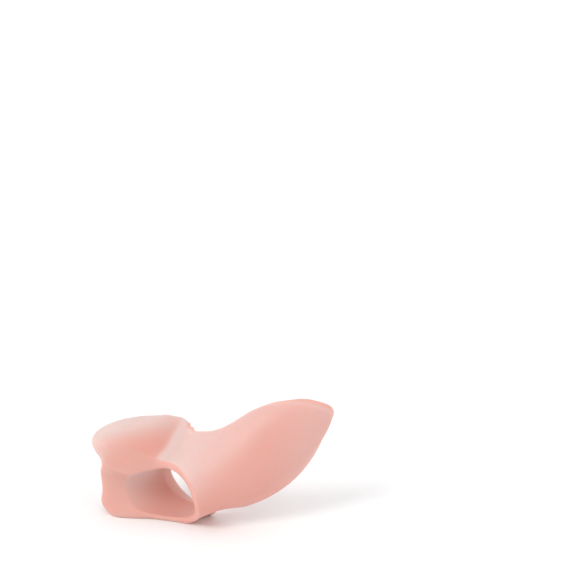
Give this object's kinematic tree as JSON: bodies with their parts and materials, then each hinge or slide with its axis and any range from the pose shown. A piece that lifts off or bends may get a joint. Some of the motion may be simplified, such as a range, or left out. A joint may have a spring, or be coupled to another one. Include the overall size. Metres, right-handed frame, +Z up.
{
  "type": "toe separator",
  "caption": "Soft gel toe separator in one piece: a toe hole, a waisted spacer with a pillow-shaped head beside it, and a curved shield for the joint of the big toe.",
  "frame": {"origin": "under the middle of the part's box, on the surface that the separator stands on", "axes": "+X back along the foot, from the front of the spacer to the tip of the shield; +Y out to the spacer, towards the second toe; +Z up"},
  "size_m": [0.0774, 0.0464, 0.0447],
  "materials": {
    "gel": "satin, slightly see-through pink silicone gel"
  },
  "bodies": {
    "root": {"gel_separator": "gel"}
  },
  "joints": []
}
